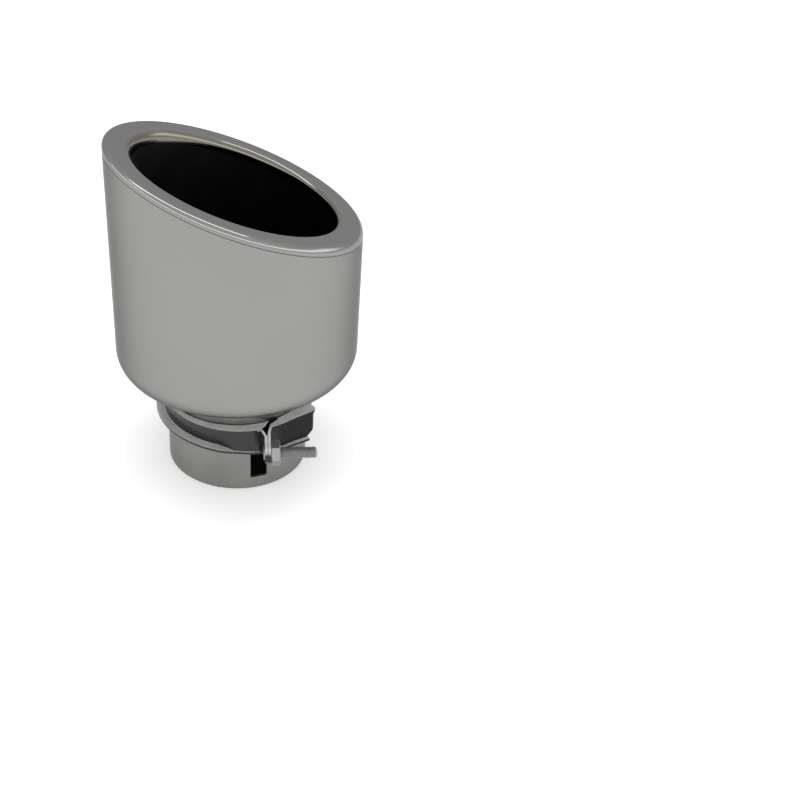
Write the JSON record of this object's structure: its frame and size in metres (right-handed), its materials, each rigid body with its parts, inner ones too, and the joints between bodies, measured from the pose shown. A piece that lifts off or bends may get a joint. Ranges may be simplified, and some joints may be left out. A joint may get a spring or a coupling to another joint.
{
  "type": "exhaust tip",
  "caption": "Double-wall exhaust tip with a slanted rolled rim, black inner liner and a bolted strap clamp on its slotted inlet neck.",
  "frame": {"origin": "centre of the neck's end face, on the axis of the inlet bore", "axes": "+Z along the axis from the inlet to the outlet, -Y to the front where the clamp's ears are, +X towards the low side of the slanted rim"},
  "size_m": [0.1016, 0.1016, 0.1463],
  "materials": {
    "neck_steel": "satin stainless tube, drawn and lightly polished",
    "polished_steel": "mirror-polished stainless sheet",
    "polished_rim": "mirror-polished pressed stainless rim",
    "weld_steel": "dull welded stainless with faint heat tint",
    "liner_black": "semi-matt black coating",
    "zinc_strap": "zinc-plated pressed steel",
    "zinc_stud": "zinc-plated threaded steel",
    "zinc_nut": "bright zinc-plated steel"
  },
  "bodies": {
    "root": {"inlet_neck": "neck_steel", "outer_shell": "polished_steel", "shell_weld_bead": "weld_steel", "rim_ring": "polished_rim", "inner_liner": "liner_black", "clamp_strap": "zinc_strap", "clamp_stud": "zinc_stud", "clamp_nut": "zinc_nut"}
  },
  "joints": []
}
